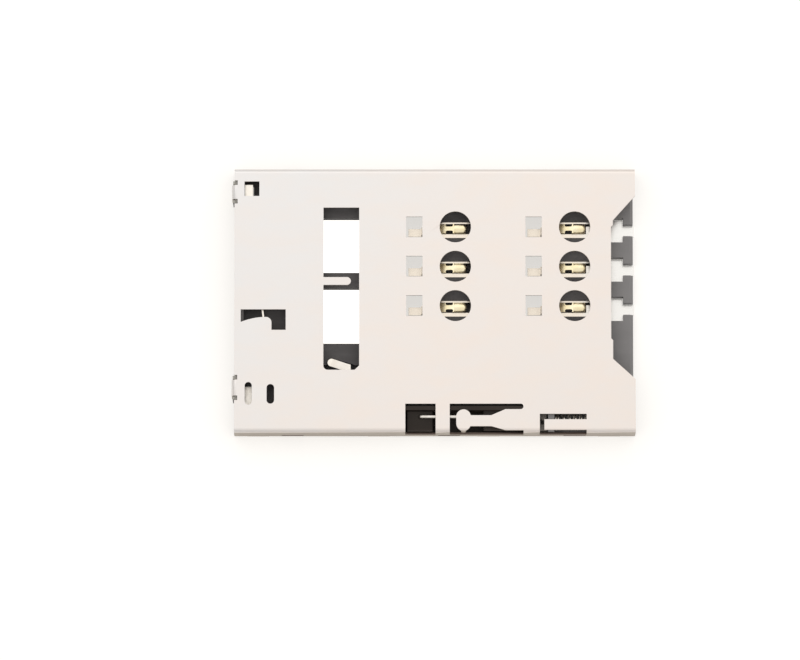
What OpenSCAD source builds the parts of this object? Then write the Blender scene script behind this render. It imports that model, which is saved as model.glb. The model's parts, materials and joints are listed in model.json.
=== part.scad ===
// Push-push connector for a mini SIM card, soldered flat to a circuit board.
// A folded steel shield covers a moulded housing with six spring contacts. The card's cut
// corner pushes a slider back against a coil spring; a wire follower in the slider's
// heart-shaped groove locks it there, and a second push lets the card out again.
// +X is the card's mouth, +Z is up from the board, and the origin lies on the board under
// the middle of the connector.

/* [Card] */
// Length of the card
card_len = 25; // [24.6:0.1:25.6]
// Width of the card
card_w = 15; // [14.6:0.1:15.6]
// Cut corner of the card, measured along either edge
card_corner = 3; // [2.6:0.1:3.3]
// Part of the locked card that stands out of the mouth
card_reach = 1.14; // [0.9:0.02:1.5]
// Contact end of the card to the first column of contacts
col_first = 5; // [4.8:0.05:5.3]
// Distance between the two columns of contacts
col_pitch = 7.62; // [7.2:0.01:8]
// Long edge of the card to the first row of contacts
row_first = 3.6; // [3.4:0.05:3.8]
// Distance between rows of contacts
row_pitch = 2.54; // [2.3:0.01:2.65]
// Free play between the card's lower edge and the slider channel
side_gap = 0.07; // [0.04:0.01:0.15]

/* [Housing] */
// Thickness of the floor under the card
floor_t = 0.8; // [0.76:0.01:1]
// Height of the card slot
slot_h = 0.95; // [0.9:0.01:1.1]
// Thickness of the rear wall
rear_wall = 0.56; // [0.5:0.01:0.8]
// Width of the channel that holds the slider
channel_w = 1.63; // [1.6:0.01:1.9]
// Thickness of the floor under the slider
channel_floor = 0.5; // [0.44:0.01:0.54]
// Front wall of the slider channel
front_wall = 0.18; // [0.14:0.01:0.25]
// Housing front behind the shield's front edge
front_inset = 0.115; // [0.1:0.005:0.3]
// Lead-in chamfer along the floor's front edge
lead_in = 0.18; // [0.1:0.01:0.25]
// Play between the shield and the housing
seat_gap = 0.03; // [0.02:0.01:0.05]
// Width of each latch bump on the housing's sides
latch_w = 1.1; // [0.8:0.1:1.6]
// Height of each latch bump
latch_h = 0.2; // [0.15:0.01:0.24]
// Reach of the pegs that locate the shield's rear legs
peg_reach = 0.12; // [0.05:0.01:0.14]

/* [Shield] */
// Thickness of the sheet
sheet_t = 0.15; // [0.12:0.01:0.16]
// Inside radius of the folds
fold_r = 0.15; // [0.1:0.01:0.2]
// Gap between the side walls and the board
wall_lift = 0.1; // [0.05:0.01:0.14]
// Length of each solder foot on the side walls
foot_len = 1.4; // [1:0.1:2]
// Diameter of the sight holes over the contacts
sight_d = 2; // [1.7:0.05:2.1]
// Length of the solder windows along the card's travel
solder_l = 1.04; // [0.9:0.02:1.2]
// Width of the solder windows across the card's travel
solder_w = 1.32; // [1:0.02:1.4]
// Sight hole to the solder window behind it
solder_back = 2.62; // [2.5:0.02:2.8]
// Depth of the notch in the front edge
notch_d = 1.42; // [1.2:0.01:1.5]
// Extra depth of the notch between its first and last tails
notch_step = 0.12; // [0.05:0.01:0.15]
// Corner of the notch by the first row, measured along the front edge
notch_brow = 1.6; // [1.4:0.05:1.7]
// Corner of the notch by the last row, measured along the front edge
notch_corner = 1.3; // [1:0.05:1.4]
// Mouth of the notch beyond the first row
notch_over = 2.02; // [1.8:0.01:2.2]
// Mouth of the notch beyond the last row
notch_under = 4.73; // [4.3:0.01:4.9]
// Length of the long middle window along the card's travel
mid_l = 2.28; // [1.9:0.02:2.4]
// Slider's arm to the middle window's rear edge
mid_ahead = 1.66; // [1.5:0.01:1.9]
// Middle window beyond the first row
mid_over = 1.25; // [1.1:0.05:1.6]
// Middle window beyond the last row
mid_under = 4.13; // [3.9:0.05:4.3]
// Round and cut corners at the middle window's lower end
mid_corner = 0.28; // [0.15:0.01:0.35]
// Length of the tongue in the middle window
tongue_l = 1.75; // [1.4:0.05:1.85]
// Width of that tongue
tongue_w = 0.5; // [0.4:0.02:0.6]
// Width of the rear legs' relief notches
relief_w = 0.3; // [0.2:0.02:0.4]
// Depth of the relief notches
relief_d = 0.2; // [0.2:0.02:0.4]
// Width of the slots cut round the shield's springs
slot_w = 0.35; // [0.25:0.01:0.4]
// Depth of the windows that run over the fold into the side wall
fold_cut = 0.9; // [0.6:0.05:1.1]

/* [Contacts] */
// Thickness of the contact strip
strip_t = 0.12; // [0.1:0.01:0.14]
// Width of the contact frame
frame_w = 1; // [0.94:0.02:1.06]
// Width of the frame's broad rail
rail_broad = 0.24; // [0.18:0.02:0.28]
// Width of the frame's narrow rail
rail_narrow = 0.1; // [0.08:0.01:0.14]
// Gap between the lanced finger and its frame
finger_gap = 0.03; // [0.02:0.01:0.08]
// Width of the finger's waist
waist_w = 0.26; // [0.2:0.02:0.32]
// Length of the finger's waist
waist_l = 0.47; // [0.35:0.02:0.55]
// Radius of the finger's pad across the card's travel
crown_side_r = 0.55; // [0.45:0.05:0.8]
// Height of the free finger's pad above the board
crown_z = 1.12; // [1.05:0.01:1.3]
// Length of the pad's level part
crown_l = 0.46; // [0.2:0.02:0.46]
// Bend radius at both ends of the pad
crown_r = 0.4; // [0.3:0.02:0.45]
// Length of the solder foot
tail_l = 0.88; // [0.7:0.02:0.92]
// Width of the solder foot
tail_w = 0.5; // [0.4:0.02:0.6]
// Width of the front tail's broad root
tee_w = 1.5; // [1.3:0.05:1.6]
// Width of the front tail's neck
neck_w = 0.7; // [0.5:0.05:0.8]
// Length of the front tail's neck
neck_l = 0.75; // [0.65:0.05:0.85]

/* [Slider] */
// Slider travel from ejected to locked
lock_travel = 2.3; // [2:0.05:2.3]
// Extra travel past the lock at each push
over_travel = 0.5; // [0.4:0.02:0.5]
// Thickness of the slider's arm behind the card
arm_t = 0.6; // [0.5:0.02:0.7]
// Reach of the arm past the card's cut corner
arm_reach = 0.55; // [0.3:0.05:0.8]
// Thickness of the slider's side rail
rail_t = 0.27; // [0.22:0.01:0.3]
// Thickness of the slider's front wall
push_wall = 0.4; // [0.35:0.02:0.5]
// Length of the block with the heart-shaped groove
cam_l = 4; // [3.9:0.05:4.2]
// Running clearance round the slider
run_gap = 0.04; // [0.03:0.005:0.05]
// Width of the groove
groove_w = 0.3; // [0.27:0.01:0.32]
// Side step of the entry lane at full travel
lane_in = 0.35; // [0.3:0.01:0.38]
// Side step of the return lane
lane_out = 0.3; // [0.26:0.01:0.31]

/* [Springs and follower] */
// Outside diameter of the coil spring
coil_d = 1.1; // [1:0.01:1.12]
// Diameter of the spring wire
coil_wire = 0.11; // [0.1:0.01:0.12]
// Length of the fitted spring
coil_l = 4.45; // [4.35:0.05:4.65]
// Turns of the spring
coil_turns = 13; // [11:1:13]
// Thickness of the post behind the spring
post_t = 0.4; // [0.35:0.02:0.5]
// Diameter of the spigots inside the spring
spigot_d = 0.56; // [0.4:0.02:0.6]
// Diameter of the follower wire
pin_d = 0.2; // [0.16:0.01:0.2]
// Length of the follower between its two legs
pin_l = 4.97; // [4.9:0.01:5.1]
// Clearance round the follower's pivot leg
pin_fit = 0.02; // [0.015:0.005:0.03]
// Thickness of the switch strips and the brake leaf
leaf_t = 0.12; // [0.1:0.01:0.14]
// Width of the card brake's finger
brake_w = 0.5; // [0.4:0.02:0.54]
// Height of the brake finger's tip above the board
brake_z = 1.1; // [1:0.01:1.2]
// Width of the brake's stem in the floor
stem_w = 0.36; // [0.3:0.02:0.5]
// Gap between that stem's end and the slider channel
stem_gap = 0.63; // [0.3:0.01:1]
// Open gap of the card switch
switch_gap = 0.08; // [0.06:0.01:0.1]

/* [Hidden] */
$fn = 64;
eps = 0.01;
ROWS = 3;
travel = lock_travel + over_travel;
body_len = card_len - card_reach + over_travel + arm_t + run_gap + rear_wall + seat_gap + sheet_t;
body_w = card_w + side_gap + channel_w + 2 * sheet_t;
body_h = floor_t + slot_h + sheet_t;
// Ends of the shield, the housing and the locked card
x_front = body_len / 2;
plate_x0 = -body_len / 2 + sheet_t;
hous_x0 = plate_x0 + seat_gap;
hous_x1 = x_front - front_inset;
card_x0 = x_front + card_reach - card_len;
wall_y = body_w / 2 - sheet_t;
hous_y = wall_y - seat_gap;
roof_z = floor_t + slot_h;
// Contact grid, measured from the card
col_x = [x_front + card_reach - col_first, x_front + card_reach - col_first - col_pitch];
row_y = [for (i = [0:ROWS - 1]) wall_y - row_first - i * row_pitch];
// Contact frame, from its row and its column
frame_step = -0.05;
open_y0 = frame_step - frame_w / 2 + rail_broad;
open_y1 = frame_step + frame_w / 2 - rail_narrow;
finger_y = (open_y0 + open_y1) / 2;
finger_w = open_y1 - open_y0 - 2 * finger_gap;
frame_back = 2.05;
frame_front = 1.4;
finger_root = 1.8;
finger_waist = 0.38;
crown_x = 0.05;
crown_end = 65;
frame_open = 1;
tab_x = 0.75;
tab_gap = 0.17;
tail_step = -0.12;
well_y0 = -0.5;
well_y1 = 0.95;
pocket_z = 0.3;
tee_root_x = x_front - 1.6;
neck_x = x_front - neck_l - 0.025;
// Slider channel
chan_y = wall_y - card_w - side_gap;
slide_y0 = -wall_y + 2 * run_gap;
slide_y1 = chan_y - run_gap;
rail_y = slide_y1 - rail_t;
fixed_y = rail_y - run_gap;
slide_z0 = channel_floor + 0.03;
slide_z1 = roof_z - run_gap;
cam_z1 = slide_z1 - 0.28;
push_x1 = hous_x1 - front_wall - 0.03;
push_x0 = push_x1 - push_wall;
post_x1 = push_x0 - coil_l;
post_x0 = post_x1 - post_t;
cam_x1 = post_x0 - 0.1;
cam_x0 = cam_x1 - cam_l;
coil_y = (fixed_y - wall_y) / 2;
coil_z = slide_z0 + coil_d / 2 + 0.02;
// Follower, its groove and its pivot shelf
pin_bend = 0.2;
leg_x = cam_x1 - travel - 0.3;
pivot_x = leg_x - pin_l;
pin_y = slide_y1 - lane_out - groove_w / 2 - 0.22;
pin_z = cam_z1 + 0.04 + pin_d / 2;
pin_foot = floor_t + 0.15;
shelf_r = 0.8;
// Slider arm behind the card
arm_x1 = card_x0 + lock_travel;
arm_x0 = arm_x1 - arm_t;
arm_y1 = wall_y - card_w + card_corner + arm_reach;
arm_z0 = floor_t + 0.05;
heel_x = arm_x1 + card_corner;
// Card switch at the rear
leaf_x = card_x0 + 0.165;
leaf_z0 = arm_z0;
leaf_z1 = roof_z - 0.15;
leaf_knee = [leaf_x - leaf_t / 2 - 0.05, row_y[2] - 0.1];
leaf_root = [plate_x0 + 1.24 - leaf_t / 2, wall_y - 1.75];
blade_y = row_y[2] + 0.15;
blade_w = 0.8;
pad_l = 1.3;
root_x1 = leaf_root[0];
root_x0 = root_x1 - 0.52;
root_y1 = wall_y - 0.8;
root_y0 = leaf_root[1] - 0.4;
// Openings in the shield
mid_x0 = arm_x1 + mid_ahead;
mid_x1 = mid_x0 + mid_l;
mid_y0 = row_y[2] - mid_under;
mid_y1 = row_y[0] + mid_over;
tongue_y = row_y[1] - 0.95;
bar_y = [tongue_y - 0.31, tongue_y + 0.68];
brake_tip = [mid_x0 + 0.51, mid_y0 + 0.57];
brake_x1 = mid_x0 + 1.74;
brake_turn = -16;
brake_l = (brake_x1 - brake_tip[0]) / cos(brake_turn);
brake_play = 0.06;
brake_well = [brake_tip[1] - 0.7, brake_tip[1] - 0.13];
window_y1 = slide_y1 + 0.12;
cam_win_x0 = pivot_x + 1.9;
cam_win_x1 = pivot_x + 6.6;
LATCH_X = [-9, 1, 9];
FOOT_X = [-11.2, -3.5, 3.5, 11.2];
LEGS = [[wall_y - 1.79, wall_y - 0.89], [2.24 - wall_y, 3.26 - wall_y]];

function unit(v) = v / norm(v);
function perp(v) = [-v[1], v[0]];
// Point i of a bent strip's edge, d away from its middle line p
function edge_point(p, i, d) = let (
    a = perp(unit(p[max(i, 1)] - p[max(i, 1) - 1])),
    b = perp(unit(p[min(i + 1, len(p) - 1)] - p[min(i, len(p) - 2)])),
    n = unit(a + b)) p[i] + n * d / (n * a);
// Outline of a strip of thickness t bent along the middle line p
function strip(p, t) = concat(
    [for (i = [0:len(p) - 1]) edge_point(p, i, t / 2)],
    [for (i = [len(p) - 1:-1:0]) edge_point(p, i, -t / 2)]);
function arc(c, r, a0, a1, n) =
    [for (i = [0:n]) c + r * [cos(a0 + (a1 - a0) * i / n), sin(a0 + (a1 - a0) * i / n)]];

// Rectangle between two corners
module rect(a, b) {
    translate(a)
        square(b - a);
}

// Box between two corners
module box(a, b) {
    translate(a)
        cube(b - a);
}

// Straight lane with round ends
module lane(a, b, w) {
    translate(a)
        circle(d = w);
    translate(b)
        circle(d = w);
    translate(a)
        rotate(atan2(b[1] - a[1], b[0] - a[0]))
            translate([0, -w / 2])
                square([norm(b - a), w]);
}

// Rectangle with round ends of its own, drawn as a stadium along its longer side
module round_slot(a, b) {
    w = min(b[0] - a[0], b[1] - a[1]);
    lane(a + [w / 2, w / 2], b - [w / 2, w / 2], w);
}

// Strip bent in the XZ plane, w wide across Y
module bent(p, t, w) {
    rotate([90, 0, 0])
        linear_extrude(w, center = true)
            polygon(strip(p, t));
}

// Folded edge of the sheet in section: the roof's edge, the fold and the wall down to z
module fold_section(z) {
    r = fold_r + sheet_t;
    intersection() {
        translate([-r, body_h - r])
            difference() {
                circle(r);
                circle(fold_r);
            }
        rect([-r, body_h - r], [0, body_h]);
    }
    rect([-sheet_t, z], [0, body_h - r + eps]);
}

// Shield

// Leaf spring that holds the follower down: a waisted blade with a broad head
module cam_leaf_outline() {
    head_y = -wall_y + 0.66;
    neck_y = -wall_y + 0.62;
    lane([cam_win_x0 + 0.88, head_y - 0.22], [cam_win_x0 + 0.88, head_y + 0.22], 0.93);
    polygon([
        [cam_win_x0 + 0.9, neck_y - 0.35],
        [cam_win_x0 + 2.65, neck_y - 0.35],
        [cam_win_x1 - 1.15, -wall_y + 0.02],
        [cam_win_x1 + eps, -wall_y + 0.02],
        [cam_win_x1 + eps, window_y1 - slot_w],
        [cam_win_x1 - 1.15, window_y1 - slot_w],
        [cam_win_x1 - 2.05, neck_y + 0.35],
        [cam_win_x0 + 0.9, neck_y + 0.35]]);
}

// Window round that leaf, with round ends where its two slots stop
module cam_window() {
    difference() {
        union() {
            rect([cam_win_x0, -body_w / 2 - eps], [cam_win_x1 - slot_w / 2, window_y1]);
            translate([cam_win_x1 - slot_w / 2, window_y1 - slot_w / 2])
                circle(d = slot_w);
            rect([cam_win_x1 - slot_w / 2, -body_w / 2 - eps], [cam_win_x1, -wall_y + 0.02]);
        }
        cam_leaf_outline();
    }
}

// Three-sided slot that frees the spring tongue over the coil spring
module tongue_slot() {
    x0 = post_x0 - 0.53;
    x1 = post_x0 + 2.45;
    y1 = chan_y - 0.57;
    rect([x0, -body_w / 2 - eps], [x0 + 0.29, y1]);
    rect([x0, y1 - slot_w], [x1, y1]);
    rect([x0, -body_w / 2 - eps], [x1, -wall_y + 0.04]);
}

// Window over the free end of the switch leaf, with one curved side
module switch_window() {
    x0 = card_x0 - 1.315;
    x1 = card_x0 + 1.555;
    y1 = row_y[2] - 0.24;
    y0 = y1 - 1.32;
    curve_x = card_x0 + 0.3;
    tip_r = 0.35;
    brow_r = 4.2;
    brow_y = y0 + 0.83;
    polygon(concat(
        arc([curve_x, brow_y - tip_r], tip_r, 0, 90, 8),
        arc([curve_x, brow_y - brow_r], brow_r, 90, 90 + asin((curve_x - x0) / brow_r), 8),
        [[x0, y1], [x1, y1], [x1, y0], [curve_x + tip_r, y0]]));
}

// Notch in the front edge, over the front solder tails
module front_notch() {
    y0 = row_y[2] - notch_under;
    y1 = row_y[0] + notch_over;
    step_y = row_y[2] - 2.1;
    polygon([
        [x_front + eps, y0],
        [x_front - notch_d, y0 + notch_corner],
        [x_front - notch_d, step_y - notch_step],
        [x_front - notch_d - notch_step, step_y],
        [x_front - notch_d - notch_step, row_y[0]],
        [x_front - notch_d, row_y[0] + notch_step],
        [x_front - notch_d, y1 - notch_brow],
        [x_front + eps, y1]]);
}

// Long middle window, with its tongue left standing
module middle_window() {
    difference() {
        polygon(concat(
            arc([mid_x0 + mid_corner, mid_y0 + mid_corner], mid_corner, 180, 270, 8),
            [[mid_x1 - mid_corner, mid_y0], [mid_x1, mid_y0 + mid_corner]],
            [[mid_x1, mid_y1], [mid_x0, mid_y1]]));
        lane([mid_x0 - 0.3, tongue_y], [mid_x0 + tongue_l - tongue_w / 2, tongue_y], tongue_w);
    }
}

// All openings in the shield's roof
module roof_openings() {
    for (x = col_x)
        for (y = row_y) {
            translate([x, y])
                circle(d = sight_d);
            translate([x - solder_back, y])
                square([solder_l, solder_w], center = true);
        }
    front_notch();
    middle_window();
    switch_window();
    rect([pivot_x - 0.93, -body_w / 2 - eps], [pivot_x + 1, window_y1]);
    cam_window();
    tongue_slot();
    // Slot and corner windows at the rear
    round_slot([card_x0 + 0.345, chan_y + 0.08], [card_x0 + 0.825, chan_y + 1.34]);
    round_slot([root_x0 + 0.02, chan_y + 0.02], [root_x0 + 0.47, chan_y + 1.47]);
    rect([root_x0 - 0.02, wall_y - 1.6], [root_x0 + 0.93, wall_y - 0.66]);
}

module shield() {
    flat_y = body_w / 2 - fold_r - sheet_t;
    color([0.93, 0.91, 0.88])
        union() {
            difference() {
                union() {
                    box([plate_x0 + relief_d, -flat_y - eps, roof_z], [x_front, flat_y + eps, body_h]);
                    // Rear strip of the roof, and the legs folded down from it
                    for (leg = LEGS)
                        translate([plate_x0 + relief_d + eps, leg[0], 0])
                            rear_leg(leg[1] - leg[0], relief_d + sheet_t + eps);
                    rear_edge(flat_y);
                    for (s = [-1, 1])
                        mirror([0, s < 0 ? 1 : 0, 0])
                            translate([plate_x0, body_w / 2, 0])
                                rotate([90, 0, 90])
                                    linear_extrude(x_front - plate_x0)
                                        fold_section(wall_lift);
                    side_feet();
                }
                translate([0, 0, roof_z - fold_cut])
                    linear_extrude(2 * fold_cut)
                        roof_openings();
                latch_windows();
            }
        }
}

// Strip of roof along the rear edge, with a relief notch at either end of each leg
module rear_edge(flat_y) {
    difference() {
        box([plate_x0, -flat_y - eps, roof_z], [plate_x0 + relief_d + eps, flat_y + eps, body_h]);
        for (leg = LEGS)
            box([plate_x0 - 1, leg[0] - relief_w, 0], [plate_x0 + relief_d, leg[1] + relief_w, 2 * body_h]);
    }
}

// Leg w wide, folded down from a strip of roof of the given depth
module rear_leg(w, depth) {
    r = fold_r + sheet_t;
    rotate([90, 0, 180])
        linear_extrude(w)
            translate([depth, 0]) {
                fold_section(0);
                rect([-depth, body_h - sheet_t], [eps - r, body_h]);
            }
}

// Solder feet on both side walls
module side_feet() {
    for (s = [-1, 1])
        for (x = FOOT_X)
            translate([x, s * (body_w / 2 - sheet_t / 2), wall_lift])
                cube([foot_len, sheet_t, 2 * wall_lift], center = true);
}

// Windows in the side walls, which snap over the housing's latch bumps
module latch_windows() {
    for (x = LATCH_X)
        translate([x, 0, channel_floor - latch_h / 2])
            cube([latch_w + 0.3, body_w + 1, latch_h + 0.1], center = true);
}

// Contacts

// Slope of the finger, which climbs in a straight line that touches the pad's rear bend
function finger_rise() = let (
    across = crown_x + finger_root,
    up = crown_z - floor_t - crown_r)
    asin(crown_r / norm([across, up])) + atan2(up, across);

// Strip of the finger in section across its length, drawn at the bend's radius and domed
module domed_section() {
    intersection() {
        translate([crown_r - crown_side_r, 0])
            difference() {
                circle(crown_side_r + strip_t / 2);
                circle(crown_side_r - strip_t / 2);
            }
        rect([crown_r - crown_side_r, -finger_w / 2], [crown_r + strip_t, finger_w / 2]);
    }
}

// Straight domed strip of length l, drawn from the end of a bend in the bend's plane
module domed_strip(l) {
    rotate([90, 0, 0])
        linear_extrude(l)
            domed_section();
}

// Domed pad: a bend off the slope, a level part and a bend down at the tip
module finger_pad(rise, slope_l) {
    rotate([90, 0, 0]) {
        rotate(90 + rise)
            mirror([0, 1, 0])
                domed_strip(slope_l);
        rotate(90)
            rotate_extrude(angle = rise)
                domed_section();
        rotate(90)
            domed_strip(crown_l);
        translate([crown_l, 0])
            rotate(crown_end)
                rotate_extrude(angle = 90 - crown_end)
                    domed_section();
    }
}

// Finger: flat across from its root to the waist, and from there the domed pad
module finger() {
    top = crown_z - strip_t / 2;
    base = floor_t - strip_t / 2;
    rise = finger_rise();
    bend_x = crown_x - crown_r * sin(rise);
    bend_z = top - crown_r + crown_r * cos(rise);
    slope_l = (bend_x + finger_waist - waist_l / 2 - 0.03) / cos(rise);
    slot_w = (finger_w - waist_w) / 2 + finger_gap;
    difference() {
        bent([[-finger_root - 0.2, base], [-finger_root, base],
            [bend_x - slope_l / 2 * cos(rise), bend_z - slope_l / 2 * sin(rise)]], strip_t, finger_w);
        for (s = [-1, 1])
            linear_extrude(body_h)
                lane([slot_w / 2 - finger_waist - waist_l / 2, s * (waist_w + slot_w) / 2],
                    [waist_l / 2 - finger_waist - slot_w / 2, s * (waist_w + slot_w) / 2], slot_w);
    }
    translate([crown_x, 0, top - crown_r])
        finger_pad(rise, slope_l);
}

// Opening in a contact's frame; in the front column a tab closes part of it past the pad
module frame_opening(c) {
    difference() {
        rect([-finger_root, open_y0], [frame_open, open_y1]);
        if (c == 0)
            rect([tab_x, open_y0], [frame_open, open_y1 - tab_gap]);
    }
}

// Rear solder tail's middle line, from the frame down to the board
function tail_line() = let (x = -frame_back - strip_t / 2)
    [[0.3 - frame_back, floor_t - strip_t / 2], [x, floor_t - strip_t / 2],
        [x, strip_t / 2], [x - tail_l, strip_t / 2]];

// One contact: a frame let into the floor, the finger cut free inside it, and its tails
module contact(c, r) {
    color([0.9, 0.8, 0.5])
        translate([col_x[c], row_y[r], 0]) {
            translate([0, 0, floor_t - strip_t])
                linear_extrude(strip_t)
                    difference() {
                        translate([0, frame_step])
                            rect([-frame_back, -frame_w / 2], [frame_front, frame_w / 2]);
                        frame_opening(c);
                    }
            translate([0, finger_y, 0])
                finger();
            translate([0, tail_step, 0])
                bent(tail_line(), strip_t, tail_w);
            if (c == 0)
                translate([0, frame_step, 0])
                    front_tail(col_x[c]);
        }
}

// Front tail: steps down from the frame to the board, broad first and then a narrow neck
module front_tail(x) {
    root = tee_root_x - x;
    z = floor_t - strip_t / 2;
    bent([[frame_front - 0.3, z], [frame_front + 0.1, z], [root - 0.1, strip_t / 2],
        [root + 0.1, strip_t / 2]], strip_t, neck_w);
    linear_extrude(strip_t) {
        rect([root, -tee_w / 2], [neck_x - x, tee_w / 2]);
        rect([root, -neck_w / 2], [neck_x + neck_l - x, neck_w / 2]);
    }
}

module contact_c1() {
    contact(0, 0);
}

module contact_c2() {
    contact(0, 1);
}

module contact_c3() {
    contact(0, 2);
}

module contact_c5() {
    contact(1, 0);
}

module contact_c6() {
    contact(1, 1);
}

module contact_c7() {
    contact(1, 2);
}

// Card switch and card brake

// Switch leaf seen from above: root by the rear corner, bent tip behind the card's end
function leaf_line() = [leaf_root, leaf_knee, leaf_knee + [0.09, -0.78]];
// Middle line's X at a place along the leaf
function leaf_at(y) = leaf_knee[0]
    + (leaf_root[0] - leaf_knee[0]) * (y - leaf_knee[1]) / (leaf_root[1] - leaf_knee[1]);

module switch_spring() {
    root_z = leaf_z0 + 0.45;
    color([0.85, 0.8, 0.68])
        union() {
            translate([0, 0, leaf_z0])
                linear_extrude(leaf_z1 - leaf_z0)
                    polygon(strip(leaf_line(), leaf_t));
            box([root_x0, root_y0, root_z], [root_x1, root_y1, root_z + leaf_t]);
            box([root_x0, root_y0, 0], [root_x0 + leaf_t, root_y1, root_z + leaf_t]);
            box([root_x0, root_y0, 0], [root_x1, root_y1, leaf_t]);
        }
}

// Fixed switch terminal: a pad by the rear corner, a strip inside the floor, and a blade
// that the leaf meets when the card pushes it back
module switch_terminal() {
    pad_y0 = chan_y + 0.02;
    pad_y1 = pad_y0 + pad_l;
    blade_x = leaf_at(blade_y + blade_w) - leaf_t / 2 - switch_gap;
    strip_z = pocket_z;
    pad_x1 = root_x0 + 0.47;
    color([0.8, 0.75, 0.66])
        union() {
            box([root_x0, pad_y0, floor_t - leaf_t], [pad_x1, pad_y1, floor_t]);
            box([root_x0, pad_y1 - leaf_t, strip_z], [pad_x1, pad_y1, floor_t]);
            box([root_x0, pad_y0, 0], [root_x0 + leaf_t, pad_y1, floor_t]);
            box([root_x0, pad_y1 - leaf_t, strip_z], [pad_x1, blade_y + blade_w, strip_z + leaf_t]);
            box([root_x0, blade_y, strip_z], [blade_x, blade_y + blade_w, strip_z + leaf_t]);
            box([blade_x - leaf_t, blade_y, strip_z], [blade_x, blade_y + blade_w, leaf_z1]);
        }
}

// Card brake: a stem let into the floor, and a finger that rises off it to a round tip, so that
// the card presses it down on its way in
module card_brake_spring() {
    low_z = floor_t - leaf_t / 2;
    top_z = brake_z - leaf_t / 2;
    stem_y = chan_y + stem_gap;
    color([0.8, 0.77, 0.7])
        union() {
            intersection() {
                translate(concat(brake_tip, 0))
                    rotate([0, 0, brake_turn])
                        intersection() {
                            bent([[2 * brake_l, low_z], [brake_l - stem_w, low_z], [0.05, top_z],
                                [-brake_w, top_z]], leaf_t, brake_w);
                            linear_extrude(body_h)
                                lane([0, 0], [2 * brake_l, 0], brake_w);
                        }
                box([brake_tip[0] - brake_w, stem_y, 0], [brake_x1, brake_tip[1] + brake_w, body_h]);
            }
            box([brake_x1 - stem_w, stem_y, floor_t - leaf_t],
                [brake_x1, brake_tip[1] - brake_w / 2, floor_t]);
            box([brake_x1 - stem_w, stem_y, pocket_z], [brake_x1, stem_y + leaf_t, floor_t]);
        }
}

// Housing

// Room in the floor for one contact and its tails
module contact_room(c, r) {
    translate([col_x[c], row_y[r], 0]) {
        box([-frame_back, frame_step - frame_w / 2, floor_t - strip_t],
            [frame_front, frame_step + frame_w / 2, floor_t + 1]);
        box([-finger_root, open_y0, pocket_z], [frame_open, open_y1, floor_t + 1]);
        box([-solder_back - solder_l / 2 - 0.06, well_y0, -1], [-frame_back, well_y1, floor_t + 1]);
    }
    if (c == 0)
        translate([0, row_y[r] + frame_step, 0]) {
            box([col_x[0] + frame_front, -tee_w / 2 - 0.03, -1],
                [neck_x + 0.03, tee_w / 2 + 0.03, floor_t + 1]);
            box([neck_x, -neck_w / 2 - 0.03, -1], [x_front, neck_w / 2 + 0.03, floor_t + 1]);
        }
}

// Openings through the floor behind the contacts, either side of the middle bar
module floor_windows() {
    for (y = [[mid_y0 + 1.83, bar_y[0]], [bar_y[1], mid_y1 - 0.53]])
        box([mid_x0 - 0.3, y[0], -1], [mid_x1 + 0.25, y[1], floor_t + 1]);
}

// Pocket that the card brake's finger is pressed down into
module brake_pocket() {
    translate([0, 0, pocket_z])
        linear_extrude(body_h) {
            translate(brake_tip)
                rotate(brake_turn)
                    lane([0, 0], [brake_l, 0], brake_w + 2 * brake_play);
            rect([mid_x0 - 0.1, brake_well[0]], [mid_x1 + 0.1, brake_well[1]]);
        }
}

// Floor, rear wall and the two fixed blocks of the channel
module housing_body() {
    difference() {
        box([hous_x0, -hous_y, 0], [hous_x1, hous_y, floor_t]);
        box([hous_x0 - 1, -hous_y - 1, channel_floor], [hous_x1 + 1, chan_y, floor_t + 1]);
        translate([hous_x1, 0, floor_t])
            rotate([0, 45, 0])
                cube([lead_in * sqrt(2), body_w, lead_in * sqrt(2)], center = true);
    }
    box([hous_x0, -hous_y, 0], [hous_x0 + rear_wall, hous_y, roof_z - seat_gap]);
    box([hous_x1 - front_wall, -hous_y, 0], [hous_x1, chan_y, roof_z - seat_gap]);
    box([post_x0, -hous_y, 0], [post_x1, fixed_y, roof_z - seat_gap]);
    translate([post_x1 - eps, coil_y, coil_z])
        rotate([0, 90, 0])
            cylinder(d = spigot_d, h = 0.9);
    box([pivot_x - shelf_r, -hous_y, 0], [pivot_x + shelf_r, fixed_y, cam_z1]);
    for (x = LATCH_X)
        for (s = [-1, 1])
            mirror([0, s < 0 ? 1 : 0, 0])
                translate([x - latch_w / 2, hous_y, channel_floor - latch_h])
                    latch();
    leg_pegs();
}

// Pegs in the relief notches, one at either side of each rear leg
module leg_pegs() {
    for (leg = LEGS)
        for (y = [leg[0] - relief_w, leg[1]])
            box([hous_x0 - peg_reach, y + run_gap, 0], [hous_x0 + eps, y + relief_w - run_gap, roof_z]);
}

// Wedge-shaped latch bump, its slope on top
module latch() {
    reach = seat_gap + sheet_t - 0.03;
    rotate([90, 0, 90])
        linear_extrude(latch_w)
            polygon([[-eps, 0], [reach, 0], [reach, latch_h * 0.4], [-eps, latch_h]]);
}

module housing() {
    color([0.2, 0.2, 0.21])
        difference() {
            housing_body();
            for (c = [0, 1])
                for (r = [0:ROWS - 1])
                    contact_room(c, r);
            floor_windows();
            brake_pocket();
            translate([pivot_x, pin_y, pin_foot - 0.1])
                cylinder(d = pin_d + 2 * pin_fit, h = 2);
            box([root_x0 - run_gap, root_y0 - run_gap, -1],
                [root_x1 + run_gap, root_y1 + run_gap, floor_t + 1]);
            switch_terminal();
            card_brake_spring();
        }
}

// Slider, its follower and its spring

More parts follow.
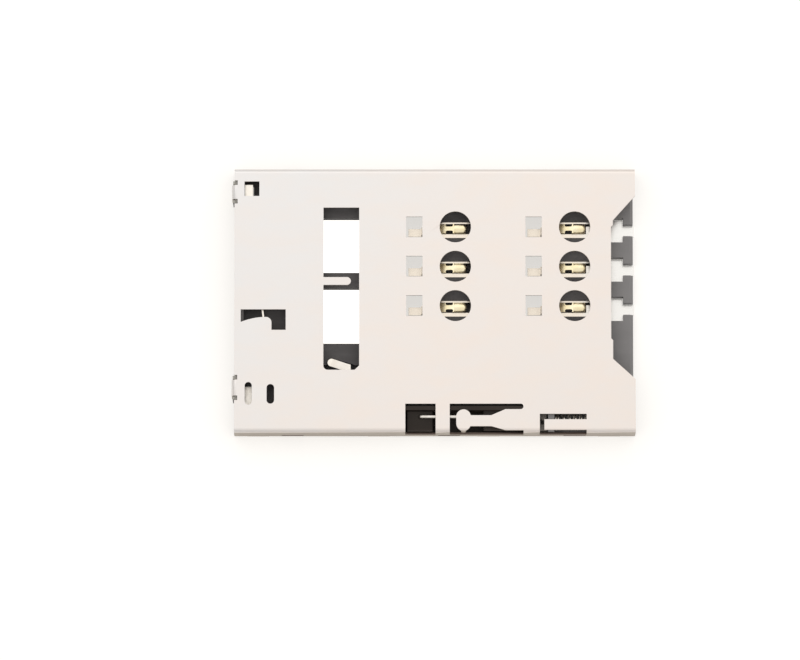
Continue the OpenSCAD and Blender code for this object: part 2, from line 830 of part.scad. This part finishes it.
// Plan of the heart-shaped groove: entry lane, lock notch and return lane round the island
module heart_groove() {
    w = groove_w;
    lane([0, 0], [travel, -lane_in], w);
    lane([travel, -lane_in], [lock_travel, 0], w);
    lane([lock_travel, 0], [travel - 0.05, lane_out], w);
    lane([travel - 0.05, lane_out], [0.9, lane_out], w);
    lane([0.9, lane_out], [0, 0], w);
}

// Plan of the slider's arm and heel, cut to the card's corner
module arm_plan() {
    polygon([
        [arm_x0, arm_y1],
        [arm_x1, arm_y1],
        [arm_x1, arm_y1 - arm_reach],
        [heel_x, wall_y - card_w],
        [heel_x, slide_y1 - rail_t],
        [arm_x0, slide_y1 - rail_t]]);
}

module slider() {
    color([0.24, 0.23, 0.23])
        difference() {
            union() {
                translate([0, 0, arm_z0])
                    linear_extrude(slide_z1 - arm_z0)
                        arm_plan();
                box([arm_x0, slide_y0, slide_z0], [heel_x, slide_y1, slide_z1]);
                box([heel_x - eps, rail_y, slide_z0], [push_x1, slide_y1, slide_z1]);
                box([cam_x0, slide_y0, slide_z0], [cam_x1, slide_y1, cam_z1]);
                box([push_x0, slide_y0, slide_z0], [push_x1, slide_y1, slide_z1]);
                translate([push_x0 + eps, coil_y, coil_z])
                    rotate([0, -90, 0])
                        cylinder(d = spigot_d, h = 0.5);
            }
            translate([leg_x, pin_y, pin_foot - 0.1])
                linear_extrude(2)
                    heart_groove();
        }
}

// Wire follower: a straight back with both ends turned down
module cam_pin() {
    back_x = pin_l - 2 * pin_bend;
    color([0.85, 0.84, 0.82])
        translate([pivot_x, pin_y, 0]) {
            translate([pin_bend, 0, pin_z])
                rotate([0, 90, 0])
                    cylinder(d = pin_d, h = back_x);
            for (s = [0, 1])
                translate([s * pin_l, 0, 0])
                    mirror([s, 0, 0]) {
                        translate([0, 0, pin_foot])
                            cylinder(d = pin_d, h = pin_z - pin_bend - pin_foot);
                        translate([pin_bend, 0, pin_z - pin_bend])
                            rotate([90, 0, 0])
                                rotate(90)
                                    rotate_extrude(angle = 90)
                                        translate([pin_bend, 0])
                                            circle(d = pin_d);
                    }
        }
}

// Ring of points round the spring wire at a place along its helix, given in turns
SIDES = 6;
STEPS = 14;
function coil_radius() = (coil_d - coil_wire) / 2;
function coil_place(t) = coil_wire / 2 + 0.01 + (coil_l - coil_wire - 0.02) * t / coil_turns;
function wire_ring(t) = [for (k = [0:SIDES - 1]) let (
    r = coil_radius() + coil_wire / 2 * cos(360 * k / SIDES),
    x = coil_place(t) + coil_wire / 2 * sin(360 * k / SIDES))
    [x, r * cos(360 * t), r * sin(360 * t)]];

module ejector_spring() {
    rings = coil_turns * STEPS;
    points = [for (i = [0:rings]) each wire_ring(i / STEPS)];
    sides = [for (i = [0:rings - 1]) for (k = [0:SIDES - 1]) let (n = (k + 1) % SIDES)
        [i * SIDES + k, (i + 1) * SIDES + k, (i + 1) * SIDES + n, i * SIDES + n]];
    ends = [[for (k = [0:SIDES - 1]) k], [for (k = [SIDES - 1:-1:0]) rings * SIDES + k]];
    color([0.75, 0.73, 0.7])
        translate([post_x1, coil_y, coil_z])
            polyhedron(points, concat(sides, ends));
}

shield();
housing();
contact_c1();
contact_c2();
contact_c3();
contact_c5();
contact_c6();
contact_c7();
slider();
ejector_spring();
cam_pin();
switch_spring();
switch_terminal();
card_brake_spring();
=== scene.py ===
# Push-push connector for a mini SIM card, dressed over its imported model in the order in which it
# is put together: moulding, contacts, switch, brake, slider, spring, follower and shield.
import json
from math import pi, radians

import bmesh
import bpy
from mathutils import Matrix, Vector

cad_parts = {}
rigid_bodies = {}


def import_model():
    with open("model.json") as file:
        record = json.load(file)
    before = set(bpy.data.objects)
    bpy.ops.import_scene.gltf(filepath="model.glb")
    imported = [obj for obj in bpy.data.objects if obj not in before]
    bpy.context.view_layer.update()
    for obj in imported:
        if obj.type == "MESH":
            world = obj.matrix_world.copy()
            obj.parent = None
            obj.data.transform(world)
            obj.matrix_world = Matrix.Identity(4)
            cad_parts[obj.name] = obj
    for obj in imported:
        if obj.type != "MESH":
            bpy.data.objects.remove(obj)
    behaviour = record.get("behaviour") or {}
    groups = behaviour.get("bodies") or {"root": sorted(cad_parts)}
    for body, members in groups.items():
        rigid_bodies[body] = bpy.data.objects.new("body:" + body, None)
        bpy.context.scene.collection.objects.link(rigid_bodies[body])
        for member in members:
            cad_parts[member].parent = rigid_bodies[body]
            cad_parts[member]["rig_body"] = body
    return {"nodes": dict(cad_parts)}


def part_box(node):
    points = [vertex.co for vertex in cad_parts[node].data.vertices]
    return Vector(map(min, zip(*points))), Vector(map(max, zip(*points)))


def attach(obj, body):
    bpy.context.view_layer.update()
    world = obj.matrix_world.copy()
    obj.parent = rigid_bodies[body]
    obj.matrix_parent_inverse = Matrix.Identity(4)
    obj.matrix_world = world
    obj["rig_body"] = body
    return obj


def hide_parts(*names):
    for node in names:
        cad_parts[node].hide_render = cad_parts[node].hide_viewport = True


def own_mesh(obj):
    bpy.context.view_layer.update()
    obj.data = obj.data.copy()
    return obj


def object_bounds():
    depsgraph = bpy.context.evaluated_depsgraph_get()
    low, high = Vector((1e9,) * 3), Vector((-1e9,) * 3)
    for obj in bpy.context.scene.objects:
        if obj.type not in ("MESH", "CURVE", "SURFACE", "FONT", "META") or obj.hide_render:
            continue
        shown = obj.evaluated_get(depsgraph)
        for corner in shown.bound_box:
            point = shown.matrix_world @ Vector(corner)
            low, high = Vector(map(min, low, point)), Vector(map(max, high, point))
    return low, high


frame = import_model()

MM = 0.001
cad_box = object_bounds()


# Housing: one moulding of black, glass-filled liquid-crystal plastic, matt from a spark-eroded
# tool, with pale flow lines and fibre specks. Painted light makes it paler on the sill, on the
# pegs' tops and where the spring lies, and painted shade makes it blackest in the slider's
# channel.
WELD = 0.0005 * MM
FLAT_WITHIN = 0.3
MOULD_EASE = 0.012 * MM
MOULD_CREASE = 35
PLASTIC_DARK = (0.090, 0.084, 0.084, 1)
PLASTIC_PALE = (0.192, 0.183, 0.183, 1)
# painted shade: the housing's colours inside the slider's channel, under the shield
CHANNEL_SHADE_DARK = (0.018, 0.012, 0.008, 1)
CHANNEL_SHADE_PALE = (0.046, 0.034, 0.026, 1)
# painted light: the sill in the open front notch and the floor of the spring's pocket are drawn
# paler
SILL_PAINTED_LIGHT = (0.250, 0.242, 0.242, 1)
# painted light on the up-facing tops of the pegs
PEG_TOP_PAINTED_LIGHT = (0.460, 0.450, 0.410, 1)
CHANNEL_SIDE = (-6.62 * MM, -6.82 * MM)
CHANNEL_END = (6.6 * MM, 6.1 * MM)
SPRING_BED = (6.6 * MM, 7 * MM)
SILL = (9.5 * MM, 11.5 * MM)
PEGS = (-12.5 * MM, -12.6 * MM)
PEG_TOPS = (0.3, 0.8)
PEGS_TO_SILL = (-1 * MM, 1 * MM)
FLOW_SIZE = 0.9 * MM
FLOW_SPAN = (0.35, 0.75)
FLOW_SHARE = 0.55
GRAIN_SIZE = 0.035 * MM
GRAIN_DEPTH = 0.004 * MM
FIBRE_GAP = 0.12 * MM
FIBRE_SPAN = (0.16, 0.05)
FIBRE_SHARE = 0.35
FIBRE_RISE = 0.4
# least share of the painted light, which the flow lines raise
PAINTED_LIGHT_LEAST = 0.75
PLASTIC_SHINE = 0.25
HOUSING_ROUGH = 0.42


class Wire:
    """An output socket. An expression on wires and numbers adds its Math nodes."""

    def __init__(self, tree, socket):
        self.tree, self.socket = tree, socket

    @classmethod
    def node(cls, tree, kind, settings=None, sockets=None, out=0):
        """A node of any kind: its settings are set first, then its sockets' values or links."""
        made = tree.nodes.new(kind)
        for name, value in (settings or {}).items():
            setattr(made, name, value)
        for place, value in (sockets or {}).items():
            if isinstance(place, str):
                socket = next(s for s in made.inputs if s.name == place and s.enabled)
            else:
                socket = made.inputs[place]
            if isinstance(value, cls):
                tree.links.new(value.socket, socket)
            else:
                socket.default_value = value
        if out is None:
            return made
        if isinstance(out, str):
            return cls(tree, next(s for s in made.outputs if s.name == out and s.enabled))
        return cls(tree, made.outputs[out])

    def math(self, operation, *values):
        """A Math node on all the values given, so self is given too where it takes part."""
        sockets = dict(enumerate(values))
        return self.node(self.tree, "ShaderNodeMath", {"operation": operation}, sockets)

    def __add__(self, other):
        return self.math("ADD", self, other)

    def __radd__(self, other):
        return self.math("ADD", other, self)

    def __sub__(self, other):
        return self.math("SUBTRACT", self, other)

    def __rsub__(self, other):
        return self.math("SUBTRACT", other, self)

    def __mul__(self, other):
        return self.math("MULTIPLY", self, other)

    def __rmul__(self, other):
        return self.math("MULTIPLY", other, self)

    def between(self, low, high):
        """A smooth step from 0 at low to 1 at high, which may be the smaller of the two."""
        return self.node(
            self.tree, "ShaderNodeMapRange", {"interpolation_type": "SMOOTHSTEP"},
            {"Value": self, "From Min": low, "From Max": high})


class Finish:
    """A new material and the patterns that its finish is made of, in the piece's own places."""

    def __init__(self, name):
        self.material = bpy.data.materials.new(name)
        self.material.use_nodes = True
        self.tree = self.material.node_tree
        self.tree.nodes.clear()
        self.place = self.node("ShaderNodeTexCoord", out="Object")

    def node(self, kind, settings=None, sockets=None, out=0):
        return Wire.node(self.tree, kind, settings, sockets, out)

    def stretched(self, size, stretch=(1, 1, 1)):
        """Places on a grid whose step is size, drawn out along each axis by stretch."""
        scale = tuple(1 / (size * s) for s in stretch)
        return self.node("ShaderNodeMapping", {}, {"Vector": self.place, "Scale": scale})

    def noise(self, size, stretch=(1, 1, 1), detail=3.0, rough=0.5):
        """Cloudy pattern from 0 to 1 whose patches measure about size."""
        at = self.stretched(size, stretch)
        sockets = {"Vector": at, "Scale": 1.0, "Detail": detail, "Roughness": rough}
        return self.node("ShaderNodeTexNoise", {}, sockets)

    def specks(self, size, stretch=(1, 1, 1)):
        """Distance to the nearest of many specks that lie about size apart."""
        at = self.stretched(size, stretch)
        return self.node("ShaderNodeTexVoronoi", {}, {"Vector": at, "Scale": 1.0}, "Distance")

    def facing(self, axis):
        """How far the surface faces along +X, +Y or +Z, from -1 to 1."""
        normal = self.node("ShaderNodeTexCoord", out="Normal")
        return self.node("ShaderNodeSeparateXYZ", {}, {"Vector": normal}, "XYZ".index(axis))

    def along(self, axis):
        """The place along X, Y or Z, in metres."""
        return self.node("ShaderNodeSeparateXYZ", {}, {"Vector": self.place}, "XYZ".index(axis))

    def mix(self, share, first, second):
        """Colour that goes from the first to the second with share."""
        sockets = {"Factor": share, "A": first, "B": second}
        return self.node("ShaderNodeMix", {"data_type": "RGBA"}, sockets, "Result")

    def bump(self, height, depth):
        return self.node("ShaderNodeBump", {}, {"Height": height, "Distance": depth})

    def surface(self, **sockets):
        """Ends the material with its one surface shader; a socket's name has _ for a space."""
        named = {name.replace("_", " "): value for name, value in sockets.items()}
        shader = self.node("ShaderNodeBsdfPrincipled", {}, named)
        self.node("ShaderNodeOutputMaterial", {}, {"Surface": shader}, None)
        return self.material


def eased_copy(node, name, ease, crease):
    """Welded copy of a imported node, standing for it. Edges that turn by more than crease, in
    degrees, get a small round that starts ease away from them."""
    source = frame["nodes"][node]
    work = bmesh.new()
    work.from_mesh(source.data)
    bmesh.ops.remove_doubles(work, verts=work.verts, dist=WELD)
    bmesh.ops.dissolve_limit(
        work, angle_limit=radians(FLAT_WITHIN), verts=work.verts, edges=work.edges)
    sharp = [e for e in work.edges if e.is_manifold and e.calc_face_angle() > radians(crease)]
    bmesh.ops.bevel(
        work, geom=sharp, offset=ease, offset_type="OFFSET", affect="EDGES", segments=2,
        profile=0.5, material=-1, clamp_overlap=True)
    for edge in work.edges:
        edge.smooth = not edge.is_manifold or edge.calc_face_angle() < radians(crease)
    for face in work.faces:
        face.smooth = True
    mesh = bpy.data.meshes.new(name)
    work.to_mesh(mesh)
    work.free()
    for left in ("custom_normal", "sharp_face"):
        if left in mesh.attributes:
            mesh.attributes.remove(mesh.attributes[left])
    piece = bpy.data.objects.new(name, mesh)
    flats = piece.modifiers.new("flats_stay_flat", "WEIGHTED_NORMAL")
    flats.mode = "FACE_AREA"
    flats.weight = 50
    flats.keep_sharp = True
    bpy.context.scene.collection.objects.link(piece)
    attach(piece, source["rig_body"])
    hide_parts(node)
    return piece


def moulded_plastic(made, dark, pale, painted_light_colour, painted_light_share, rough):
    """Moulded plastic: matt grain, soft flow lines along the card's travel, fibre specks, and a
    paler colour mixed in as painted light."""
    flow = made.noise(FLOW_SIZE, (4, 1, 1), 4.0)
    grain = made.noise(GRAIN_SIZE, detail=2.0)
    fibre = made.specks(FIBRE_GAP, (2, 1, 1)).between(*FIBRE_SPAN)
    as_shot = made.mix(
        flow.between(*FLOW_SPAN) * FLOW_SHARE + fibre * FIBRE_SHARE, dark, pale)
    # painted light: a paler colour mixed in, more where the flow lines run
    painted_light_here = painted_light_share * (PAINTED_LIGHT_LEAST + flow * (1 - PAINTED_LIGHT_LEAST))
    return made.surface(
        Base_Color=made.mix(painted_light_here, as_shot, painted_light_colour),
        Roughness=rough + flow * 0.12 + grain * 0.06,
        Specular_IOR_Level=PLASTIC_SHINE,
        Normal=made.bump(grain + fibre * FIBRE_RISE, GRAIN_DEPTH))


made = Finish("black_plastic")
past = made.along("X")
beside = made.along("Y").between(*CHANNEL_SIDE)
# mask of the painted shade in the slider's channel
channel = beside * past.between(*CHANNEL_END)
# the pegs' up-facing tops, where light is painted
pegs = past.between(*PEGS) * made.facing("Z").between(*PEG_TOPS)
# mask of the painted light: the sill, the pegs' tops and the spring's pocket
housing_painted_light = past.between(*SILL) + pegs + beside * past.between(*SPRING_BED)
black_plastic = moulded_plastic(
    made,
    made.mix(channel, PLASTIC_DARK, CHANNEL_SHADE_DARK),
    made.mix(channel, PLASTIC_PALE, CHANNEL_SHADE_PALE),
    made.mix(past.between(*PEGS_TO_SILL), PEG_TOP_PAINTED_LIGHT, SILL_PAINTED_LIGHT),
    housing_painted_light, HOUSING_ROUGH)
housing = eased_copy("housing", "housing_moulding", MOULD_EASE, MOULD_CREASE)
housing.data.materials.append(black_plastic)


# Contacts: six strips of phosphor bronze, blanked, bent and let into the floor of the housing.
# They are nickel all over, with gold only on the raised finger and tin on the front tails.
STRIP_EASE = 0.015 * MM
STRIP_CREASE = 20
GOLD_PALE = (0.98, 0.90, 0.66, 1)
GOLD_DEEP = (0.90, 0.76, 0.46, 1)
TIN = (0.870, 0.858, 0.830, 1)
NICKEL = (0.850, 0.768, 0.660, 1)
TO_TIN = (9 * MM, 10.5 * MM)
NICKEL_BELOW = 0.80 * MM
GOLD_ABOVE = 0.92 * MM
ROLLED_SIZE = 0.03 * MM
GOLD_CLOUD = 0.5 * MM
GOLD_SPAN = (0.3, 0.7)
GOLD_ROUGH = 0.18
GOLD_DEPTH = 0.0012 * MM

made = Finish("gold_plate")
rolled = made.noise(ROLLED_SIZE, (14, 1, 1), 3.0)
cloud = made.noise(GOLD_CLOUD, detail=4.0)
gold = made.mix(cloud.between(*GOLD_SPAN) * 0.6 + rolled * 0.4, GOLD_PALE, GOLD_DEEP)
plated = made.along("Z").between(NICKEL_BELOW, GOLD_ABOVE)
bare = made.mix(made.along("X").between(*TO_TIN), NICKEL, TIN)
gold_plate = made.surface(
    Base_Color=made.mix(plated, bare, gold),
    Metallic=1.0,
    Roughness=GOLD_ROUGH + rolled * 0.12,
    Normal=made.bump(rolled, GOLD_DEPTH))

for number in (1, 2, 3, 5, 6, 7):
    contact = eased_copy(
        f"contact_c{number}", f"contact_c{number}_strip", STRIP_EASE, STRIP_CREASE)
    contact.data.materials.append(gold_plate)


# Card switch and card brake: strips of spring steel under thin nickel, pushed into slots in the
# housing. Their rolled grain runs along the strip, and they have a warm cast from the plating.
STRIP_PALE = (0.98, 0.93, 0.86, 1)
STRIP_DEEP = (0.88, 0.82, 0.73, 1)
STRIP_CLOUD = 0.6 * MM
STRIP_SPAN = (0.35, 0.7)
STRIP_ROUGH = 0.26
STRIP_DEPTH = 0.001 * MM

made = Finish("spring_strip")
rolled = made.noise(ROLLED_SIZE, (1, 16, 16), 3.0)
cloud = made.noise(STRIP_CLOUD, detail=4.0)
tone = cloud.between(*STRIP_SPAN) * 0.6 + rolled * 0.3
spring_strip = made.surface(
    Base_Color=made.mix(tone, STRIP_PALE, STRIP_DEEP),
    Metallic=1.0,
    Roughness=STRIP_ROUGH + rolled * 0.12,
    Normal=made.bump(rolled, STRIP_DEPTH))

for node in ("switch_spring", "switch_terminal", "card_brake_spring"):
    strip = eased_copy(node, node + "_strip", STRIP_EASE, STRIP_CREASE)
    strip.data.materials.append(spring_strip)


# Slider: a second moulding, of a slippery unfilled grade. It runs in the housing's channel, and
# its faces are a little smoother than the housing's, with painted light making its front end
# paler.
SLIDER_DARK = (0.022, 0.015, 0.011, 1)
SLIDER_PALE = (0.056, 0.043, 0.034, 1)
# painted light: the slider's front end, seen through the shield's slot, is drawn paler
SLIDER_FRONT_PAINTED_LIGHT = (0.200, 0.180, 0.160, 1)
FRONT_LIGHT_FROM = (5.8 * MM, 6.6 * MM)
SLIDER_ROUGH = 0.36

made = Finish("slider_plastic")
front_painted_light = made.along("X").between(*FRONT_LIGHT_FROM)
slider_plastic = moulded_plastic(
    made, SLIDER_DARK, SLIDER_PALE, SLIDER_FRONT_PAINTED_LIGHT, front_painted_light, SLIDER_ROUGH)
slider = eased_copy("slider", "slider_moulding", MOULD_EASE, MOULD_CREASE)
slider.data.materials.append(slider_plastic)


# Ejector spring: drawn stainless wire wound on a mandrel, with a closed turn at either end. It
# sits on two spigots between the housing's post and the slider's front wall, and is squeezed
# towards the post as the slider goes in.
WIRE_D = 0.11 * MM
WIRE_SIDES = 14
OPEN_TURNS = 11
CLOSED_TURNS = 1
STEPS_PER_TURN = 40
WIRE_PALE = (0.93, 0.89, 0.83, 1)
WIRE_DEEP = (0.62, 0.58, 0.52, 1)
DRAWN_SIZE = 0.02 * MM
WIRE_CLOUD = 0.25 * MM
WIRE_SPAN = (0.3, 0.75)
WIRE_ROUGH = 0.24
WIRE_DEPTH = 0.001 * MM

made = Finish("spring_wire")
drawn = made.noise(DRAWN_SIZE, (6, 6, 1), 3.0)
cloud = made.noise(WIRE_CLOUD, detail=4.0)
tone = cloud.between(*WIRE_SPAN) * 0.6 + drawn * 0.3
spring_wire = made.surface(
    Base_Color=made.mix(tone, WIRE_PALE, WIRE_DEEP),
    Metallic=1.0,
    Roughness=WIRE_ROUGH + drawn * 0.14,
    Normal=made.bump(drawn, WIRE_DEPTH))

low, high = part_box("ejector_spring")
axis_at = (low + high) / 2
wound_r = (high.z - low.z - WIRE_D) / 2
start = Vector((low.x + WIRE_D / 2, axis_at.y + wound_r, axis_at.z))
open_length = high.x - low.x - WIRE_D * (1 + 2 * CLOSED_TURNS)
work = bmesh.new()
ring = bmesh.ops.create_circle(
    work, segments=WIRE_SIDES, radius=WIRE_D / 2, cap_ends=True,
    matrix=Matrix.Translation(start))["verts"]
end = list({f for v in ring for f in v.link_faces})
for turns, length in ((CLOSED_TURNS, WIRE_D), (OPEN_TURNS, open_length), (CLOSED_TURNS, WIRE_D)):
    steps = turns * STEPS_PER_TURN
    swept = bmesh.ops.spin(
        work, geom=end, cent=(0, axis_at.y, axis_at.z), axis=(1, 0, 0),
        dvec=(length / steps, 0, 0), angle=2 * pi * turns, steps=steps, use_merge=False)
    end = [g for g in swept["geom_last"] if isinstance(g, bmesh.types.BMFace)]
bmesh.ops.recalc_face_normals(work, faces=work.faces)
for face in work.faces:
    face.smooth = len(face.verts) == 4
mesh = bpy.data.meshes.new("ejector_spring_coil")
work.to_mesh(mesh)
work.free()
coil = bpy.data.objects.new("ejector_spring_coil", mesh)
bpy.context.scene.collection.objects.link(coil)
coil.data.materials.append(spring_wire)
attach(coil, "base")
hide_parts("ejector_spring")
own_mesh(coil)


# Follower: a staple of the same wire with its two ends bent down. One end turns in the housing,
# and the other runs in the slider's heart-shaped groove.
FOLLOWER_EASE = 0.01 * MM
FOLLOWER_CREASE = 50

follower = eased_copy("cam_pin", "cam_pin_wire", FOLLOWER_EASE, FOLLOWER_CREASE)
follower.data.materials.append(spring_wire)


# Shield: one blank of bright rolled stainless sheet under a nickel flash, punched, folded down
# at the sides and the rear, and snapped over the housing's latches. Both faces of the roof keep
# the rolling grain's brightness. The folds, walls and cut edges get a painted shade, and the flat
# faces below the roof a deeper painted shade. A face's turn towards the rear or the front shifts
# which of these it takes. A painted light falloff makes the roof warmer towards +X and -Y.
SHEET_EASE = 0.022 * MM
SHEET_CREASE = 35
SHEET_PALE = (0.787, 0.773, 0.765, 1)
SHEET_WARM = (0.842, 0.766, 0.711, 1)
# painted shade: folds, walls and cut edges darker than the roof, flat faces below the roof darker
# still
SHEET_WALL_SHADE = (0.50, 0.445, 0.385, 1)
SHEET_LOW_SHADE = (0.17, 0.13, 0.11, 1)
ROOF_ABOVE = 1.7 * MM
ROOF_BLEND = 0.05 * MM
# painted light and shade by side: faces turned towards -X take the flat faces' colours sooner,
# faces towards +X later
SIDE_PAINTED_SHARE = 0.45
LEVEL_SPAN = (0.3, 0.55)
# painted light falloff: the roof's colour turns warmer towards +X and -Y
SHADE_DRIFT_SLANT = 0.6
SHADE_DRIFT_SPAN = (-14 * MM, 4 * MM)
SHEET_CLOUD = 1.1 * MM
SHEET_SPAN = (0.35, 0.7)
SHEET_GRAIN = 0.022 * MM
PIT_GAP = 0.1 * MM
PIT_SPAN = (0.14, 0.04)
SHEET_ROUGH = 0.3
SHEET_DEPTH = 0.0012 * MM

made = Finish("sheet_steel")
shade_drift = made.along("X") - made.along("Y") * SHADE_DRIFT_SLANT
cloud = made.noise(SHEET_CLOUD, (2, 1, 1), 4.0)
rolled = made.noise(SHEET_GRAIN, (28, 1, 1), 3.0, 0.6)
pits = made.specks(PIT_GAP, (1.6, 1, 1)).between(*PIT_SPAN)
upright = made.facing("Z")
flatness = upright.math("ABSOLUTE", upright) - made.facing("X") * SIDE_PAINTED_SHARE
level = flatness.between(*LEVEL_SPAN)
above = made.along("Z").between(ROOF_ABOVE - ROOF_BLEND, ROOF_ABOVE)
roof = level * above
# the warm tone is part painted light falloff, part random cloud and grain
warm = shade_drift.between(*SHADE_DRIFT_SPAN) * 0.6 + cloud.between(*SHEET_SPAN) * 0.3 + rolled * 0.15
sheet = made.mix(warm, SHEET_PALE, SHEET_WARM)
# painted shade for all that is off the roof
shaded_off_roof = made.mix(level * (1 - above), SHEET_WALL_SHADE, SHEET_LOW_SHADE)
sheet_steel = made.surface(
    Base_Color=made.mix(roof, shaded_off_roof, sheet),
    Metallic=1.0,
    Roughness=SHEET_ROUGH + rolled * 0.1 + cloud * 0.06 + (1 - roof) * 0.12,
    Normal=made.bump(rolled + cloud * 0.3 - pits * 0.3, SHEET_DEPTH))

shield = eased_copy("shield", "shield_sheet", SHEET_EASE, SHEET_CREASE)
shield.data.materials.append(sheet_steel)


# Table, light and camera: a white table under a pale overcast dome, with one soft lamp behind
# the connector's far side, and a long lens that looks almost straight down. The table glows most
# under the connector's widest window.
TABLE_SIZE = 4.0
TABLE_GAP = 0.01 * MM
TABLE_COLOUR = (0.9, 0.9, 0.9, 1)
TABLE_WHITE = (1.0, 0.97, 0.925, 1)
TABLE_GLOW = 1.32
TABLE_SHOWN = 0.5
TABLE_MIRRORED = 0.2
WINDOW_LEFT = (-7.4 * MM, -7.1 * MM)
WINDOW_RIGHT = (-4.3 * MM, -4.6 * MM)
WINDOW_NEAR = (-6.2 * MM, -5.8 * MM)
WINDOW_FAR = (6.4 * MM, 6 * MM)
DOME_COLOUR = (1.0, 0.985, 0.965, 1)
DOME_LEVEL = 0.45
DOME_TOP, DOME_TOP_SPAN = 0.45, (0.0, 0.7)
DOME_FAR, DOME_FAR_SPAN = 0.16, (-0.6, 0.9)
BLANK_WHITE = (1, 1, 1, 1)
LAMP_AT = Vector((-45, 120, 150)) * MM
LAMP_SIZE = 260 * MM
LAMP_WATTS = 0.05
LENS = 400
SENSOR = 36
FRAME_W, FRAME_H = 800, 660
PX_PER_MM = 15.68
VERTICAL_PX_PER_MM = 15.53
MIDDLE_PX = (433.6, 300.45)
ELEVATION = radians(82)

work = bmesh.new()
bmesh.ops.create_grid(
    work, x_segments=1, y_segments=1, size=TABLE_SIZE / 2,
    matrix=Matrix.Translation((0, 0, -TABLE_GAP)))
mesh = bpy.data.meshes.new("table_top")
work.to_mesh(mesh)
work.free()
table = bpy.data.objects.new("table_top", mesh)
bpy.context.scene.collection.objects.link(table)

made = Finish("table_white")
across, deep = made.along("X"), made.along("Y")
open_x = across.between(*WINDOW_LEFT) * across.between(*WINDOW_RIGHT)
open_y = deep.between(*WINDOW_NEAR) * deep.between(*WINDOW_FAR)
shown = TABLE_SHOWN + open_x * open_y * (1 - TABLE_SHOWN)
seen = made.node("ShaderNodeLightPath", out="Is Camera Ray") * shown
mirrored = made.node("ShaderNodeLightPath", out="Is Glossy Ray") * TABLE_MIRRORED
through = made.node("ShaderNodeLightPath", out="Is Transmission Ray") * TABLE_SHOWN
matt = made.node("ShaderNodeBsdfDiffuse", {}, {"Color": TABLE_COLOUR})
white = made.node("ShaderNodeEmission", {}, {"Color": TABLE_WHITE, "Strength": TABLE_GLOW})
whole = made.node("ShaderNodeMixShader", {}, {0: seen + mirrored + through, 1: matt, 2: white})
made.node("ShaderNodeOutputMaterial", {}, {"Surface": whole}, None)
table.data.materials.append(made.material)

world = bpy.data.worlds.new("overcast")
bpy.context.scene.world = world
world.use_nodes = True
tree = world.node_tree
tree.nodes.clear()
direction = Wire.node(tree, "ShaderNodeTexCoord", out="Generated")
up = Wire.node(tree, "ShaderNodeSeparateXYZ", {}, {"Vector": direction}, "Z")
behind = Wire.node(tree, "ShaderNodeSeparateXYZ", {}, {"Vector": direction}, "Y")
strength = (DOME_LEVEL + up.between(*DOME_TOP_SPAN) * DOME_TOP
            + behind.between(*DOME_FAR_SPAN) * DOME_FAR)
dome = Wire.node(
    tree, "ShaderNodeBackground", {}, {"Color": DOME_COLOUR, "Strength": strength})
blank = Wire.node(tree, "ShaderNodeBackground", {}, {"Color": BLANK_WHITE, "Strength": 1.0})
camera_ray = Wire.node(tree, "ShaderNodeLightPath", out="Is Camera Ray")
sky = Wire.node(tree, "ShaderNodeMixShader", {}, {0: camera_ray, 1: dome, 2: blank})
Wire.node(tree, "ShaderNodeOutputWorld", {}, {"Surface": sky}, None)

lamp = bpy.data.lights.new("soft_lamp", "AREA")
lamp.shape = "SQUARE"
lamp.size = LAMP_SIZE
lamp.energy = LAMP_WATTS
lamp_object = bpy.data.objects.new("soft_lamp", lamp)
lamp_object.location = LAMP_AT
lamp_object.rotation_euler = (-LAMP_AT).to_track_quat("-Z", "Y").to_euler()
bpy.context.scene.collection.objects.link(lamp_object)

roof_z = cad_box[1].z
view_x = (FRAME_W / 2 - MIDDLE_PX[0]) / PX_PER_MM * MM
view_y = (MIDDLE_PX[1] - FRAME_H / 2) / VERTICAL_PX_PER_MM * MM
distance = FRAME_W / PX_PER_MM * MM * LENS / SENSOR
camera = bpy.data.cameras.new("camera")
camera.lens = LENS
camera.sensor_width = SENSOR
camera_object = bpy.data.objects.new("camera", camera)
tilt = pi / 2 - ELEVATION
toward = Matrix.Rotation(tilt, 3, "X") @ Vector((0, 0, 1))
camera_object.location = Vector((view_x, view_y, roof_z)) + toward * distance
camera_object.rotation_euler = (tilt, 0, 0)
bpy.context.scene.collection.objects.link(camera_object)
bpy.context.scene.camera = camera_object
bpy.context.scene.view_settings.view_transform = "Standard"
